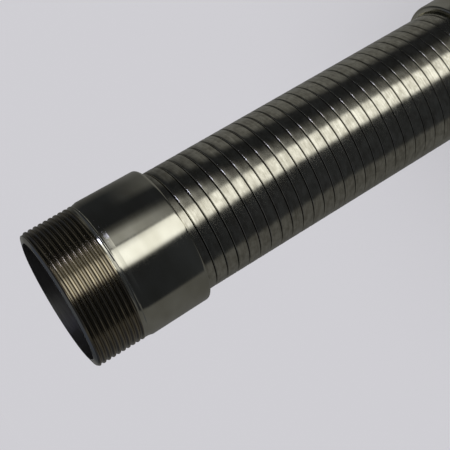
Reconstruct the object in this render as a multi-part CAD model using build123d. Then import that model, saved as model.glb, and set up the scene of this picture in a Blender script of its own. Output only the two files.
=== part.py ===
from build123d import *
import os

# An interlocked metal vacuum hose that stands on its lower end.
# +Z runs up along the hose, and the origin is the middle of the lower rim.

# Whole hose
overall_length = 254.0

# End fittings: thick-walled 2 inch pipe with a straight thread of 11.5 turns to the inch
pipe_diameter = 60.3
pipe_wall = 3.9
fitting_length = 52.4
thread_allowance = 0.65
thread_pitch = 25.4 / 11.5
thread_turns = 9.5
thread_depth = 1.4
relief_length = 2.2
shoulder_length = 1.9
collar_taper = 0.35
lip_chamfer = 0.7
bore_chamfer = 0.9

# Sockets that the hose is brazed into: their wall leaves a bore of the size of the hose
socket_wall = 3.275
socket_depth = 24.0

# Wall of the hose: one steel strip wound in a right-hand helix, each turn lapping the last
strip_height = 1.875
strip_pitch = 5.33
lap_depth = 0.55
lap_width = 0.8
lap_start_in_socket = 2.0
cutter_rise = 0.4

# Diameters that follow
thread_diameter = pipe_diameter - thread_allowance
pipe_bore = pipe_diameter - 2 * pipe_wall
hose_diameter = pipe_diameter - 2 * socket_wall
hose_bore = hose_diameter - 2 * strip_height


# The section is drawn with the mouth at the origin, facing up, and turned about the axis.
def end_fitting():
    pipe = pipe_diameter / 2
    bore = pipe_bore / 2
    socket = hose_diameter / 2
    crest = thread_diameter / 2
    root = crest - thread_depth
    thread_end = -thread_turns * thread_pitch
    collar_start = thread_end - relief_length
    seat = socket_depth - fitting_length
    section = make_face(Polyline(
        (bore + bore_chamfer, 0),
        (root, 0),
        (crest, -thread_depth),
        (crest, thread_end),
        (root, thread_end - thread_depth / 2),
        (root, collar_start),
        (pipe, collar_start - shoulder_length),
        (pipe - collar_taper, lip_chamfer - fitting_length),
        (pipe - collar_taper - lip_chamfer, -fitting_length),
        (socket, -fitting_length),
        (socket, seat),
        (bore, seat),
        (bore, -bore_chamfer),
        close=True,
    ))
    return revolve(Plane.XZ * section, axis=Axis.Z)


# The seam between two turns: a steep edge above, and the next turn's rolled shoulder below.
def lap_groove(start, end):
    surface = hose_diameter / 2
    floor = surface - lap_depth
    rim = surface + cutter_rise
    slope = lap_width * (rim - floor) / lap_depth
    section = make_face(Polyline(
        (floor, start),
        (rim, start),
        (rim, start - slope),
        close=True,
    ))
    path = Helix(pitch=strip_pitch, height=end - start, radius=surface, center=(0, 0, start))
    return sweep(Plane.XZ * section, path=path, is_frenet=True)


def wound_hose():
    inset = fitting_length - socket_depth
    length = overall_length - 2 * inset
    base = (Align.CENTER, Align.CENTER, Align.MIN)
    tube = Cylinder(hose_diameter / 2, length, align=base) - Cylinder(hose_bore / 2, length, align=base)
    first_lap = fitting_length - lap_start_in_socket
    last_lap = overall_length - fitting_length + lap_start_in_socket
    return Pos(0, 0, inset) * tube - lap_groove(first_lap, last_lap)


fitting = end_fitting()
nodes = {
    "upper_end_fitting": Pos(0, 0, overall_length) * fitting,
    "lower_end_fitting": Rot(X=180) * fitting,
    "hose_wall": wound_hose(),
}

os.makedirs("parts", exist_ok=True)
for name, solid in nodes.items():
    export_step(solid, f"parts/{name}.step")
    print(name, "volume", round(solid.volume), "mm3, valid", solid.is_valid)
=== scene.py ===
import math

import bmesh
import bpy
from mathutils import Matrix, Vector


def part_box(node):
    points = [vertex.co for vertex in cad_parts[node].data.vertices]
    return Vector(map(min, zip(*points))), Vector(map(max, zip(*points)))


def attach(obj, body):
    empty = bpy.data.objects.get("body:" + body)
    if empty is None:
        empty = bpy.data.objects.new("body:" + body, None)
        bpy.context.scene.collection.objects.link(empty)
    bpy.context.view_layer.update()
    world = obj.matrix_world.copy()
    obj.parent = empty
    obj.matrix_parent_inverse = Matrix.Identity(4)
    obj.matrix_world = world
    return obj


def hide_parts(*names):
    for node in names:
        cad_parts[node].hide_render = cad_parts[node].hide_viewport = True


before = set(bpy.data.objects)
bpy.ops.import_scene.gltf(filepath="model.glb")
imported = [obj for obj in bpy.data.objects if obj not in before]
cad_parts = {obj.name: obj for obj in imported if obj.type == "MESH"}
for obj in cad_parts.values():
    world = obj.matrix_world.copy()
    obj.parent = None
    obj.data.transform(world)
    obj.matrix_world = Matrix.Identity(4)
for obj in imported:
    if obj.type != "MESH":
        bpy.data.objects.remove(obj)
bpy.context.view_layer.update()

mm = 0.001
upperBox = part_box("upper_end_fitting")
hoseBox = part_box("hose_wall")
print("frame loaded")


# Helpers for meshes

weldWithin = 0.002 * mm    # points closer than this are merged
sameWithin = 0.001 * mm    # heights and radii closer than this count as the same
cutWithin = 0.0001 * mm    # points this close to a cut count as on it


def turned(bm, points, steps):    # points in the XZ plane, spun all the way round Z
    verts = [bm.verts.new((r, 0, z)) for r, z in points]
    edges = [bm.edges.new(pair) for pair in zip(verts, verts[1:])]
    bmesh.ops.spin(bm, geom=verts + edges, cent=(0, 0, 0), axis=(0, 0, 1), angle=2 * math.pi,
                   steps=steps, use_merge=True)


def wound(bm, points, pitch, steps):    # a helical skin: each turn's points meet the next turn's
    verts = [bm.verts.new((r, 0, z)) for r, z in points]
    edges = [bm.edges.new(pair) for pair in zip(verts, verts[1:])]
    bmesh.ops.spin(bm, geom=verts + edges, cent=(0, 0, 0), axis=(0, 0, 1), angle=2 * math.pi,
                   steps=steps, dvec=(0, 0, pitch / steps))
    bmesh.ops.remove_doubles(bm, verts=bm.verts[:], dist=weldWithin)


def cutAcross(bm, height, side=1, clear=False):    # a flat cut; clear drops what is on that side of it
    bmesh.ops.bisect_plane(bm, geom=bm.verts[:] + bm.edges[:] + bm.faces[:], dist=cutWithin,
                           plane_co=(0, 0, height), plane_no=(0, 0, side), clear_outer=clear)


def rimEdges(bm, height):    # open edges that lie at one height
    return [e for e in bm.edges
            if e.is_boundary and all(abs(v.co.z - height) < sameWithin for v in e.verts)]


def ringEdges(bm, radius, height):    # the edges of one turned ring
    return [e for e in bm.edges
            if all(abs(v.co.z - height) < sameWithin and abs(v.co.xy.length - radius) < sameWithin
                   for v in e.verts)]


def seatRim(bm, height, radius, steps):    # moves an open rim onto a turned ring's points, to weld
    for v in {v for e in rimEdges(bm, height) for v in e.verts}:
        angle = round(math.atan2(v.co.y, v.co.x) * steps / (2 * math.pi)) * 2 * math.pi / steps
        v.co = (radius * math.cos(angle), radius * math.sin(angle), height)


def limitRadius(bm, narrowest, widest):    # keeps a skin between two radii that change with height
    for v in bm.verts:
        radius = v.co.xy.length
        v.co.xy *= min(max(radius, narrowest(v.co.z)), widest(v.co.z)) / radius


def finished(bm, name, materials, smoothBelow=30):    # smoothBelow is the sharpest soft edge, in degrees
    bmesh.ops.recalc_face_normals(bm, faces=bm.faces[:])
    for e in bm.edges:
        e.smooth = e.is_manifold and e.calc_face_angle() < math.radians(smoothBelow)
    for f in bm.faces:
        f.smooth = True
    mesh = bpy.data.meshes.new(name)
    bm.to_mesh(mesh)
    bm.free()
    for material in materials:
        mesh.materials.append(material)
    piece = bpy.data.objects.new(name, mesh)
    bpy.context.collection.objects.link(piece)
    return piece


# Helpers for materials

noiseSpan = {"From Min": 0.3, "From Max": 0.7}    # most of a noise texture's values lie in this range


def linear(hexColour):    # an sRGB hex colour as linear RGBA
    channels = [int(hexColour[i:i + 2], 16) / 255 for i in (1, 3, 5)]
    return tuple(c / 12.92 if c <= 0.04045 else ((c + 0.055) / 1.055) ** 2.4
                 for c in channels) + (1.0,)


def addNode(tree, kind, values=None, links=None, **settings):
    node = tree.nodes.new("ShaderNode" + kind)
    for name, value in settings.items():
        setattr(node, name, value)
    for socket, value in (values or {}).items():
        node.inputs[socket].default_value = value
    for socket, source in (links or {}).items():
        tree.links.new(source, node.inputs[socket])
    return node


# In a colour Mix, sockets 6 and 7 are the two colours and output 2 is the result


def setStops(ramp, stops):    # stops are (position, linear colour)
    while len(ramp.color_ramp.elements) < len(stops):
        ramp.color_ramp.elements.new(1.0)
    for element, (position, colour) in zip(ramp.color_ramp.elements, stops):
        element.position = position
        element.color = colour


def emptyMaterial(name):
    material = bpy.data.materials.new(name)
    material.use_nodes = True
    material.node_tree.nodes.clear()
    return material


def closeMaterial(tree, values, links):
    shader = addNode(tree, "BsdfPrincipled", values, links)
    addNode(tree, "OutputMaterial", links={"Surface": shader.outputs[0]})


def radiusFrom(tree):    # how far a point is from the hose's axis, in metres
    place = addNode(tree, "TexCoord").outputs["Object"]
    flat = addNode(tree, "VectorMath", {1: (1, 1, 0)}, {0: place}, operation="MULTIPLY")
    return addNode(tree, "VectorMath", links={0: flat.outputs[0]}, operation="LENGTH").outputs["Value"]


def streaks(tree, spacing, runLength, detail=4.0):    # marks run round the hose, spacing apart along it
    place = addNode(tree, "TexCoord").outputs["Object"]
    squeezed = addNode(tree, "Mapping", {"Scale": (1 / runLength, 1 / runLength, 1 / spacing)},
                       {"Vector": place})
    return addNode(tree, "TexNoise", {"Scale": 1.0, "Detail": detail, "Roughness": 0.6},
                   {"Vector": squeezed.outputs[0]}).outputs["Fac"]


# Polished turned steel: stainless pipe, turned and buffed. It gives sharp reflections with fine rings
# round the collar, and a slightly warm white.
collarFinish = dict(colour="#d6d4c6", stained="#c4c1b1", roughness=(0.07, 0.13),
                    ringSpacing=0.9 * mm,    # real rings are 0.1 mm apart, drawn coarser to show
                    ringRun=60 * mm, ringDepth=0.0015 * mm,
                    wavePitch=7 * mm, waveRun=14 * mm, waveDepth=0.004 * mm)


def polishedTurnedSteel():
    spec = collarFinish
    material = emptyMaterial("polishedTurnedSteel")
    tree = material.node_tree
    smoothest, roughest = spec["roughness"]
    rings = streaks(tree, spec["ringSpacing"], spec["ringRun"])
    waves = streaks(tree, spec["wavePitch"], spec["waveRun"], detail=1.0)
    stain = addNode(tree, "MapRange", noiseSpan, {"Value": waves}).outputs[0]
    colour = addNode(tree, "Mix", {6: linear(spec["colour"]), 7: linear(spec["stained"])}, {0: stain},
                     data_type="RGBA").outputs[2]
    rough = addNode(tree, "MapRange", {**noiseSpan, "To Min": smoothest, "To Max": roughest},
                    {"Value": rings}).outputs[0]
    wave = addNode(tree, "Bump", {"Distance": spec["waveDepth"], "Strength": 1.0}, {"Height": waves})
    bump = addNode(tree, "Bump", {"Distance": spec["ringDepth"], "Strength": 1.0},
                   {"Height": rings, "Normal": wave.outputs[0]})
    closeMaterial(tree, {"Metallic": 1.0},
                  {"Base Color": colour, "Roughness": rough, "Normal": bump.outputs[0]})
    return material


# Machined thread: cut with a single point and left as cut, under a film of oil. It looks golden grey,
# with painted shade that darkens it towards the roots, and dull lines along the cut.
# the root colour is painted shade, which the thread darkens to towards its roots
threadFinish = dict(crest="#aba18a", root="#878070", dulled="#857d69", roughness=(0.11, 0.24),
                    marks=0.42 * mm,    # tool marks are about 0.1 mm apart, drawn coarser to show
                    run=11 * mm, dullSpan=(0.42, 0.62))


def machinedThreadSteel(rootRadius, crestRadius):
    spec = threadFinish
    material = emptyMaterial("machinedThreadSteel")
    tree = material.node_tree
    smoothest, roughest = spec["roughness"]
    dullFrom, dullTo = spec["dullSpan"]
    height = addNode(tree, "MapRange", {"From Min": rootRadius, "From Max": crestRadius},
                     {"Value": radiusFrom(tree)}).outputs[0]
    marks = streaks(tree, spec["marks"], spec["run"])
    dulled = addNode(tree, "MapRange", {"From Min": dullFrom, "From Max": dullTo},
                     {"Value": marks}).outputs[0]
    crest = addNode(tree, "Mix", {6: linear(spec["crest"]), 7: linear(spec["dulled"])}, {0: dulled},
                    data_type="RGBA").outputs[2]
    # painted shade: the colour darkens from crest to root
    colour = addNode(tree, "Mix", {6: linear(spec["root"])}, {0: height, 7: crest},
                     data_type="RGBA").outputs[2]
    rough = addNode(tree, "MapRange", {**noiseSpan, "To Min": smoothest, "To Max": roughest},
                    {"Value": marks}).outputs[0]
    closeMaterial(tree, {"Metallic": 1.0}, {"Base Color": colour, "Roughness": rough})
    return material


# Pipe bore: drawn and pickled, never polished, not quite fully metallic. It looks dull, and its dark
# grey is painted shade inside the bore.
# the darkness of both bore colours is painted shade for the inside of the tube; the mix between them is
# random
boreFinish = dict(colour="#706f6e", stained="#575655", metallic=0.93, roughness=(0.3, 0.46),
                  marks=1.4 * mm, run=18 * mm)


def pickledPipeBore():
    spec = boreFinish
    material = emptyMaterial("pickledPipeBore")
    tree = material.node_tree
    smoothest, roughest = spec["roughness"]
    marks = streaks(tree, spec["marks"], spec["run"])
    stain = addNode(tree, "MapRange", noiseSpan, {"Value": marks}).outputs[0]
    colour = addNode(tree, "Mix", {6: linear(spec["colour"]), 7: linear(spec["stained"])}, {0: stain},
                     data_type="RGBA").outputs[2]
    rough = addNode(tree, "MapRange", {**noiseSpan, "To Min": smoothest, "To Max": roughest},
                    {"Value": marks}).outputs[0]
    closeMaterial(tree, {"Metallic": spec["metallic"]}, {"Base Color": colour, "Roughness": rough})
    return material


# Bright rolled strip: cold-rolled stainless, wound under tension. It gives soft-edged reflections,
# streaks and clouds along the strip, and painted shade: a near-black colour in the gaps between turns.
# the gap colour is painted shade: the near-black the strip darkens to at the floor of each gap
stripFinish = dict(colour="#dbd8c9", stained="#a5a192", gap="#15130f", roughness=(0.11, 0.2),
                   streakSpacing=0.8 * mm,    # rolling lines are under 0.1 mm apart, drawn coarser
                   streakRun=22 * mm, streakDepth=0.002 * mm, streakShare=0.4,
                   cloudSize=2.2 * mm, cloudRun=3.52 * mm, cloudSpan=(0.35, 0.65), cloudShare=0.6)


def brightRolledStrip(floorRadius, surfaceRadius):
    spec = stripFinish
    material = emptyMaterial("brightRolledStrip")
    tree = material.node_tree
    smoothest, roughest = spec["roughness"]
    cloudFrom, cloudTo = spec["cloudSpan"]
    marks = streaks(tree, spec["streakSpacing"], spec["streakRun"])
    clouds = streaks(tree, spec["cloudSize"], spec["cloudRun"], detail=3.0)
    streaked = addNode(tree, "MapRange", {**noiseSpan, "To Max": spec["streakShare"]},
                       {"Value": marks}).outputs[0]
    clouded = addNode(tree, "MapRange", {"From Min": cloudFrom, "From Max": cloudTo,
                                         "To Max": spec["cloudShare"]}, {"Value": clouds}).outputs[0]
    stain = addNode(tree, "Math", links={0: streaked, 1: clouded}, operation="ADD").outputs[0]
    steel = addNode(tree, "Mix", {6: linear(spec["colour"]), 7: linear(spec["stained"])}, {0: stain},
                    data_type="RGBA").outputs[2]
    height = addNode(tree, "MapRange", {"From Min": floorRadius, "From Max": surfaceRadius},
                     {"Value": radiusFrom(tree)}).outputs[0]
    # painted shade: the colour darkens towards the floor of each gap between turns
    colour = addNode(tree, "Mix", {6: linear(spec["gap"])}, {0: height, 7: steel},
                     data_type="RGBA").outputs[2]
    rough = addNode(tree, "MapRange", {**noiseSpan, "To Min": smoothest, "To Max": roughest},
                    {"Value": marks}).outputs[0]
    bump = addNode(tree, "Bump", {"Distance": spec["streakDepth"], "Strength": 1.0}, {"Height": marks})
    closeMaterial(tree, {"Metallic": 1.0},
                  {"Base Color": colour, "Roughness": rough, "Normal": bump.outputs[0]})
    return material


# End fitting: drawn with its mouth at the origin, facing up. Radii are from the axis; seat and the
# values whose names end in Start or End are depths below the mouth.
fitting = dict(steps=192, smoothBelow=25, crest=29.825 * mm, threadPitch=25.4 / 11.5 * mm,
               threadDepth=0.6 * mm, crestFlat=0.55 * mm, rootFlat=0.5 * mm, crestRound=0.17 * mm,
               firstCrest=0.88 * mm,    # how far below the mouth the first crest is, at the front
               frontTurn=0.75,          # the front is three quarters of a turn from +X
               spareTurns=3,            # turns drawn beyond each end of the thread, then cut off
               mouthRadius=26.65 * mm, rimInner=26.45 * mm, bore=26.25 * mm,
               bevelEnd=0.65 * mm, bevelRadius=29.2 * mm, leadSlope=0.85, oiledEnd=21.1 * mm,
               vanish=1.2 * mm, threadEnd=22.9 * mm, runOut=0.3 * mm, neck=29.62 * mm,
               neckMargin=0.1 * mm, coneStart=24.05 * mm, coneRadius=29.72 * mm,
               shoulderEnd=25.65 * mm, edgeBreak=0.12 * mm, collarTaper=0.36 * mm, lipRadius=1.3 * mm,
               seat=28.4 * mm, socket=26.875 * mm, socketChamfer=0.4 * mm)
mouth = upperBox[1][2]
pipe = upperBox[1][0]
fittingLength = upperBox[1][2] - upperBox[0][2]


def threadPoints(root):    # the thread's section, from above the mouth to below its end
    spec = fitting
    crest = spec["crest"]
    pitch = spec["threadPitch"]
    rounding = spec["crestRound"]
    crestHalf = spec["crestFlat"] / 2
    flank = pitch / 2 - crestHalf - spec["rootFlat"] / 2    # how far a flank runs along the axis
    slope = flank / spec["threadDepth"]
    top = spec["spareTurns"] * pitch - spec["firstCrest"] - pitch * spec["frontTurn"]
    points = []
    for turn in range(int(spec["threadEnd"] / pitch) + 2 * spec["spareTurns"] + 1):
        middle = top - turn * pitch
        for side in (1, -1):    # half a crest with its rounded edge, then the flank down to the root
            half = [(crest, middle + side * (crestHalf - 0.8 * rounding)),
                    (crest - 0.2 * rounding, middle + side * crestHalf),
                    (crest - rounding, middle + side * (crestHalf + rounding * slope)),
                    (root, middle + side * (crestHalf + flank))]
            points += half[::-side]
    return points


def endFitting():
    spec = fitting
    crest = spec["crest"]
    root = crest - spec["threadDepth"]
    neck = spec["neck"]
    skinEnd = -spec["threadEnd"] - spec["runOut"] - spec["neckMargin"]

    def widest(z):    # the mouth's bevel, the lead into the thread, and the drop to the neck
        bevelRun = min(-z, spec["bevelEnd"]) / spec["bevelEnd"]
        bevel = spec["mouthRadius"] + bevelRun * (spec["bevelRadius"] - spec["mouthRadius"])
        lead = max(0, -z - spec["bevelEnd"]) * spec["leadSlope"]
        drop = crest + (z + spec["threadEnd"]) * (crest - neck) / spec["runOut"]
        return min(bevel + lead, max(neck, drop))

    def narrowest(z):    # the last turn of the groove gets shallower until it is gone
        return root + min(1, max(0, (-z - spec["oiledEnd"]) / spec["vanish"])) * (neck - root)

    bm = bmesh.new()
    wound(bm, threadPoints(root), spec["threadPitch"], spec["steps"])
    cutAcross(bm, skinEnd, -1, clear=True)
    cutAcross(bm, 0, 1, clear=True)
    for height in (-spec["bevelEnd"], -spec["oiledEnd"]):    # a clean edge where the finish changes
        cutAcross(bm, height)
    limitRadius(bm, narrowest, widest)
    for f in bm.faces:    # the film of oil covers the thread, from the bevel to its last turn
        oiled = spec["bevelEnd"] < -f.calc_center_median().z < spec["oiledEnd"]
        f.material_index = 0 if oiled else 1
    seatRim(bm, 0, spec["mouthRadius"], spec["steps"])
    seatRim(bm, skinEnd, neck, spec["steps"])
    threadFaces = set(bm.faces)

    collarEnd = pipe - spec["collarTaper"]
    turned(bm, [(spec["mouthRadius"], 0),
                (spec["rimInner"], 0),
                (spec["bore"], spec["bore"] - spec["rimInner"]),
                (spec["bore"], -spec["seat"]),
                (spec["socket"], -spec["seat"]),
                (spec["socket"], spec["socketChamfer"] - fittingLength),
                (spec["socket"] + spec["socketChamfer"], -fittingLength),
                (collarEnd, -fittingLength),
                (pipe, -spec["shoulderEnd"]),
                (spec["coneRadius"], -spec["coneStart"]),
                (neck, skinEnd)], spec["steps"])
    for f in bm.faces:
        if f not in threadFaces:
            inside = all(v.co.xy.length < spec["socket"] + sameWithin for v in f.verts)
            f.material_index = 2 if inside else 1
    lip = ringEdges(bm, collarEnd, -fittingLength)
    bmesh.ops.bevel(bm, geom=lip, offset=spec["lipRadius"], segments=8, profile=0.5, affect="EDGES",
                    material=-1)
    shoulder = ringEdges(bm, pipe, -spec["shoulderEnd"])
    bmesh.ops.bevel(bm, geom=shoulder, offset=spec["edgeBreak"], segments=2, profile=0.5,
                    affect="EDGES", material=-1)
    bmesh.ops.remove_doubles(bm, verts=bm.verts[:], dist=weldWithin)
    return bm


upper = endFitting()
bmesh.ops.transform(upper, matrix=Matrix.Translation((0, 0, mouth)), verts=upper.verts[:])
lower = endFitting()
bmesh.ops.transform(lower, matrix=Matrix.Rotation(math.pi, 4, "X"), verts=lower.verts[:])
fittingMaterials = [machinedThreadSteel(fitting["crest"] - fitting["threadDepth"], fitting["crest"]),
                    polishedTurnedSteel(), pickledPipeBore()]
for bm, name in ((upper, "upperFitting"), (lower, "lowerFitting")):
    piece = finished(bm, name, fittingMaterials, fitting["smoothBelow"])
    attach(piece, "root")
    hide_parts("upper_end_fitting" if name == "upperFitting" else "lower_end_fitting")
print("end fittings made")


# Hose wall: the strip's outer skin and the bore's skin, closed at the two ends. At each seam the crisp
# lower edge of one turn stands over the rolled shoulder of the turn below.
hose = dict(steps=144, smoothBelow=40, pitch=5.33 * mm, surface=26.875 * mm, bore=25.0 * mm,
            firstSeam=50.4 * mm,    # the height of one seam at +X, which sets all the others
            spareTurns=3,           # turns drawn beyond the ends, then cut off
            # the last depth is how far below the surface the painted shade in the gaps reaches
            gapDepth=0.65 * mm, gapWidth=0.4 * mm, grimeDepth=0.2 * mm,
            edgeRound=0.1 * mm, flatStart=0.35 * mm, shoulder=0.58 * mm, crown=0.012 * mm,
            boreGap=0.5 * mm, boreGapDepth=0.35 * mm)


def stripPoints(seam):    # the outside, from just above a seam to the middle of the turn below it
    spec = hose
    surface = spec["surface"]
    edge = spec["edgeRound"]
    shoulder = spec["shoulder"]
    floor = surface - spec["gapDepth"]
    bend = seam - spec["gapWidth"] - shoulder    # the height at which the shoulder's curve ends
    points = [(surface - spec["crown"], seam + spec["flatStart"]),
              (surface - spec["crown"] * 1.5, seam + edge),
              (surface - 0.3 * edge, seam + 0.3 * edge),    # half-way round the crisp edge
              (surface - edge, seam),
              (floor, seam),
              (floor, seam - spec["gapWidth"])]
    for angle in (0, 22.5, 45, 67.5, 90):
        points.append((surface - shoulder * (1 - math.sin(math.radians(angle))) - spec["crown"],
                       bend + shoulder * math.cos(math.radians(angle))))
    points.append((surface, seam - spec["pitch"] / 2))
    return points


def hoseWall():
    spec = hose
    low, high = hoseBox[0][2], hoseBox[1][2]
    pitch = spec["pitch"]
    turns = math.ceil((high - low) / pitch) + spec["spareTurns"]
    top = spec["firstSeam"] + pitch * math.ceil((high - spec["firstSeam"]) / pitch)
    points = []
    borePoints = []
    for turn in range(turns):
        seam = top - turn * pitch
        points += stripPoints(seam)
        boreSeam = seam + pitch / 2
        borePoints += [(spec["bore"], boreSeam),
                       (spec["bore"] + spec["boreGapDepth"], boreSeam),
                       (spec["bore"], boreSeam - spec["boreGap"])]
    bm = bmesh.new()
    for skin, radius in ((points, spec["surface"]), (borePoints, spec["bore"])):
        layer = bmesh.new()
        wound(layer, skin, pitch, spec["steps"])
        cutAcross(layer, low, -1, clear=True)
        cutAcross(layer, high, 1, clear=True)
        for height in (low, high):
            seatRim(layer, height, radius, spec["steps"])
        spare = bpy.data.meshes.new("skin")
        layer.to_mesh(spare)
        layer.free()
        bm.from_mesh(spare)
        bpy.data.meshes.remove(spare)
    for height in (low, high):
        turned(bm, [(spec["bore"], height), (spec["surface"], height)], spec["steps"])
    bmesh.ops.remove_doubles(bm, verts=bm.verts[:], dist=weldWithin)
    return bm


# the strip's colour is painted shade from the gaps' floor up to a set depth below the surface
stripSteel = brightRolledStrip(hose["surface"] - hose["gapDepth"], hose["surface"] - hose["grimeDepth"])
piece = finished(hoseWall(), "stripWoundWall", [stripSteel], hose["smoothBelow"])
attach(piece, "root")
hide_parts("hose_wall")
print("hose wall made")


# Studio: a pale floor under an even sky, with one soft sun
studio = dict(paper="#cfced3", paperRoughness=0.9,
              floorSize=60.0,    # half its side, in metres
              skyLevel=0.647, sunPower=1.37,
              sunTilt=35.0, sunTurn=15.0, sunSpread=50.0)    # degrees


def paleFloor():
    spec = studio
    material = emptyMaterial("backgroundPaper")
    closeMaterial(material.node_tree, {"Base Color": linear(spec["paper"]), "Specular IOR Level": 0.0,
                                       "Roughness": spec["paperRoughness"]}, {})
    bm = bmesh.new()
    bmesh.ops.create_grid(bm, x_segments=1, y_segments=1, size=spec["floorSize"])
    floor = finished(bm, "floor", [material])


# Reflector tent: a drum of lit panels and dark cloth round the hose, which only glossy rays see, so that
# polished metal has something to show. Lengths are in metres. Each row of panels is a list of (bearing,
# brightness), in degrees from the front towards -X, and the rows fade into one another at zoneEdges.
reflector = dict(
    radius=0.36, height=0.8, segments=256,
    lift=0.0003,    # keeps its base off the floor
    low=[(-180, 1.8), (-175, 1.8), (-174, 0.17), (-92, 0.15), (-78, 0.02), (-52, 0.02), (-44, 0.06),
         (-36, 0.15), (-26, 0.19), (-22, 1.4), (2, 1.4), (7.5, 0.03), (74, 0.034), (80, 0.105),
         (174, 0.105), (175, 1.8), (180, 1.8)],    # lights the hose
    middle=[(-180, 1.8), (-175, 1.8), (-174, 0.16), (-140, 0.065), (-120, 0.022), (-58, 0.016),
            (-50, 0.065), (-44, 0.21), (-38, 0.38), (-27, 0.38), (-26, 0.14), (-24.5, 0.14),
            (-22.5, 0.9), (-15, 1.38), (-10, 1.43), (0, 1.43), (4.5, 1.2), (9.5, 0.1), (13, 0.02),
            (76, 0.022), (80, 0.115), (174, 0.115), (175, 1.8), (180, 1.8)],    # lights the collars
    high=[(-180, 0.09), (-90, 0.08), (-70, 0.045), (-52, 0.045), (-49, 6.5), (-44, 6.5), (-41, 1.5),
          (-27, 1.3), (-25, 0.9), (4, 0.7), (10, 0.05), (180, 0.05)],    # lights the edges that face up
    zoneEdges=((0.06, 0.15), (0.30, 0.33), (0.38, 0.41)),    # low to middle, to high, to above
    above=((0.45, (0.046, 0.053, 0.074, 1.0)), (0.65, (0.12, 0.12, 0.118, 1.0)),
           (0.74, (0.12, 0.12, 0.118, 1.0)), (0.79, (0.045, 0.05, 0.065, 1.0))),    # height and colour
    # a tint holds up to its brightness: cool dark cloth, slightly warm panels, a violet lamp
    tints=((0.05, (0.93, 1.0, 1.13)), (2.0, (1.0, 1.0, 0.98)), (9.0, (0.85, 0.88, 1.25))))


def panelRamp(tree, bearing, panels):    # a row of panels; bearing 0 is the middle of the ramp
    stops = []
    for side, level in panels[::-1]:
        tint = next(colour for limit, colour in reflector["tints"] if level <= limit)
        stops.append((0.5 - side / 360, tuple(level * c for c in tint) + (1.0,)))
    ramp = addNode(tree, "ValToRGB", links={"Fac": bearing})
    setStops(ramp, stops)
    return ramp.outputs["Color"]


def reflectorTent():
    spec = reflector
    material = emptyMaterial("tentPanels")
    tree = material.node_tree
    place = addNode(tree, "TexCoord").outputs["Object"]
    fromFront = addNode(tree, "Mapping", {"Rotation": (0, 0, math.pi / 2)}, {"Vector": place})
    bearing = addNode(tree, "TexGradient", links={"Vector": fromFront.outputs[0]},
                      gradient_type="RADIAL").outputs["Fac"]
    zones = [panelRamp(tree, bearing, panels) for panels in (spec["low"], spec["middle"], spec["high"])]
    height = addNode(tree, "SeparateXYZ", links={0: place}).outputs["Z"]
    above = addNode(tree, "ValToRGB", links={"Fac": height})
    setStops(above, spec["above"])
    zones.append(above.outputs["Color"])
    colour = zones[0]
    for (low, high), zone in zip(spec["zoneEdges"], zones[1:]):
        share = addNode(tree, "MapRange", {"From Min": low, "From Max": high}, {"Value": height})
        colour = addNode(tree, "Mix", links={0: share.outputs[0], 6: colour, 7: zone},
                         data_type="RGBA").outputs[2]
    glow = addNode(tree, "Emission", {"Strength": 1.0}, {"Color": colour})
    addNode(tree, "OutputMaterial", links={"Surface": glow.outputs[0]})
    bm = bmesh.new()
    bmesh.ops.create_cone(bm, cap_ends=True, segments=spec["segments"], radius1=spec["radius"],
                          radius2=spec["radius"], depth=spec["height"])
    bmesh.ops.translate(bm, verts=bm.verts[:], vec=(0, 0, spec["height"] / 2 + spec["lift"]))
    tent = finished(bm, "reflectorTent", [material])
    tent.visible_camera = False
    tent.visible_diffuse = False
    tent.visible_shadow = False
    tent.visible_transmission = False


def skyAndSun():    # camera, glossy and transmission rays see the paper's colour in the sky
    spec = studio
    world = bpy.data.worlds.new("evenSky")
    bpy.context.scene.world = world
    world.use_nodes = True
    tree = world.node_tree
    tree.nodes.clear()
    level = spec["skyLevel"]
    rays = addNode(tree, "LightPath").outputs
    seen = addNode(tree, "Math", links={0: rays["Is Camera Ray"], 1: rays["Is Glossy Ray"]},
                   operation="ADD")
    shown = addNode(tree, "Math", links={0: seen.outputs[0], 1: rays["Is Transmission Ray"]},
                    operation="ADD", use_clamp=True)
    colour = addNode(tree, "Mix", {6: (level, level, level, 1.0), 7: linear(spec["paper"])},
                     {0: shown.outputs[0]}, data_type="RGBA").outputs[2]
    sky = addNode(tree, "Background", {"Strength": 1.0}, {"Color": colour})
    addNode(tree, "OutputWorld", links={"Surface": sky.outputs[0]})
    sun = bpy.data.lights.new("softSun", "SUN")
    sun.energy = spec["sunPower"]
    sun.angle = math.radians(spec["sunSpread"])
    lamp = bpy.data.objects.new("softSun", sun)
    lamp.rotation_euler = (math.radians(spec["sunTilt"]), 0, math.radians(spec["sunTurn"]))
    lamp.visible_glossy = False
    bpy.context.collection.objects.link(lamp)


paleFloor()
reflectorTent()
skyAndSun()
print("studio made")


# Camera: in front of the mouth and a little above it, rolled so that the hose runs down the frame's
# diagonal
view = dict(distance=396.8 * mm, aboveMouth=41.8 * mm, bearing=-1.152, tilt=-16.313, roll=-121.057,
            lens=80.8, sensor=36.0)


def setCamera():
    spec = view
    bearing, tilt, roll = (math.radians(spec[key]) for key in ("bearing", "tilt", "roll"))
    forward = Vector((math.sin(bearing) * math.cos(tilt), math.cos(bearing) * math.cos(tilt),
                      math.sin(tilt)))
    level = forward.cross(Vector((0, 0, 1))).normalized()
    upright = level.cross(forward)
    right = level * math.cos(roll) + upright * math.sin(roll)
    up = upright * math.cos(roll) - level * math.sin(roll)
    place = Vector((0, -spec["distance"], mouth + spec["aboveMouth"]))
    data = bpy.data.cameras.new("camera")
    data.sensor_width = spec["sensor"]
    data.lens = spec["lens"]
    camera = bpy.data.objects.new("camera", data)
    turn = Matrix((right, up, -forward)).transposed().to_4x4()
    camera.matrix_world = Matrix.Translation(place) @ turn
    bpy.context.collection.objects.link(camera)
    bpy.context.scene.camera = camera


setCamera()
bpy.context.scene.view_settings.view_transform = "Standard"
print("camera set")
